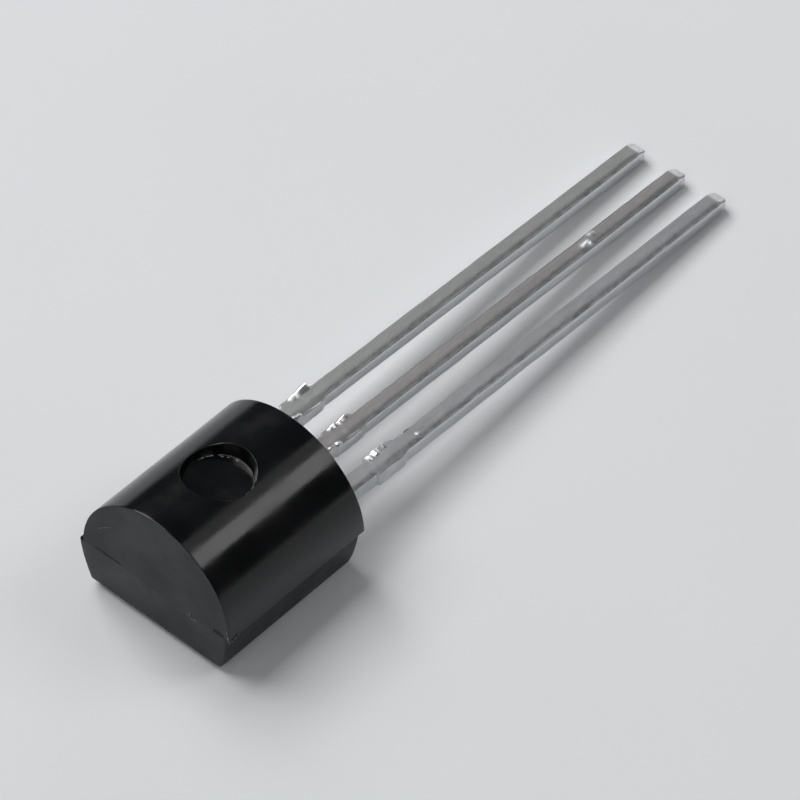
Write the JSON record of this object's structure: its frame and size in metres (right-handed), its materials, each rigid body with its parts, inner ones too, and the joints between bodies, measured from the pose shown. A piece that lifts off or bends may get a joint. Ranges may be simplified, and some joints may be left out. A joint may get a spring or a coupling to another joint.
{
  "type": "triac",
  "caption": "Low-power triac in a small round-backed moulded package with straight in-line leads, for switching alternating current.",
  "frame": {"origin": "centre of the flat face", "axes": "+Y from the body out along the leads, +Z from the flat face up to the round back, +X to the right as seen from the closed end with the flat face down"},
  "size_m": [0.0046, 0.0185, 0.0035],
  "materials": {
    "moulding_compound": "black moulded epoxy, glossy on the round back and matt on the end faces",
    "tinned_lead": "copper alloy strip, dipped in tin solder, dull grey and slightly uneven",
    "silicon": "sawn and polished silicon",
    "die_solder": "dull reflowed solder",
    "bond_wire": "drawn aluminium wire"
  },
  "bodies": {
    "root": {"moulded_body": "moulding_compound", "main_terminal_1_lead": "tinned_lead", "gate_lead": "tinned_lead", "main_terminal_2_lead": "tinned_lead", "triac_die": "silicon", "die_attach_solder": "die_solder", "gate_bond_wire": "bond_wire", "main_terminal_1_bond_wire": "bond_wire"}
  },
  "joints": []
}
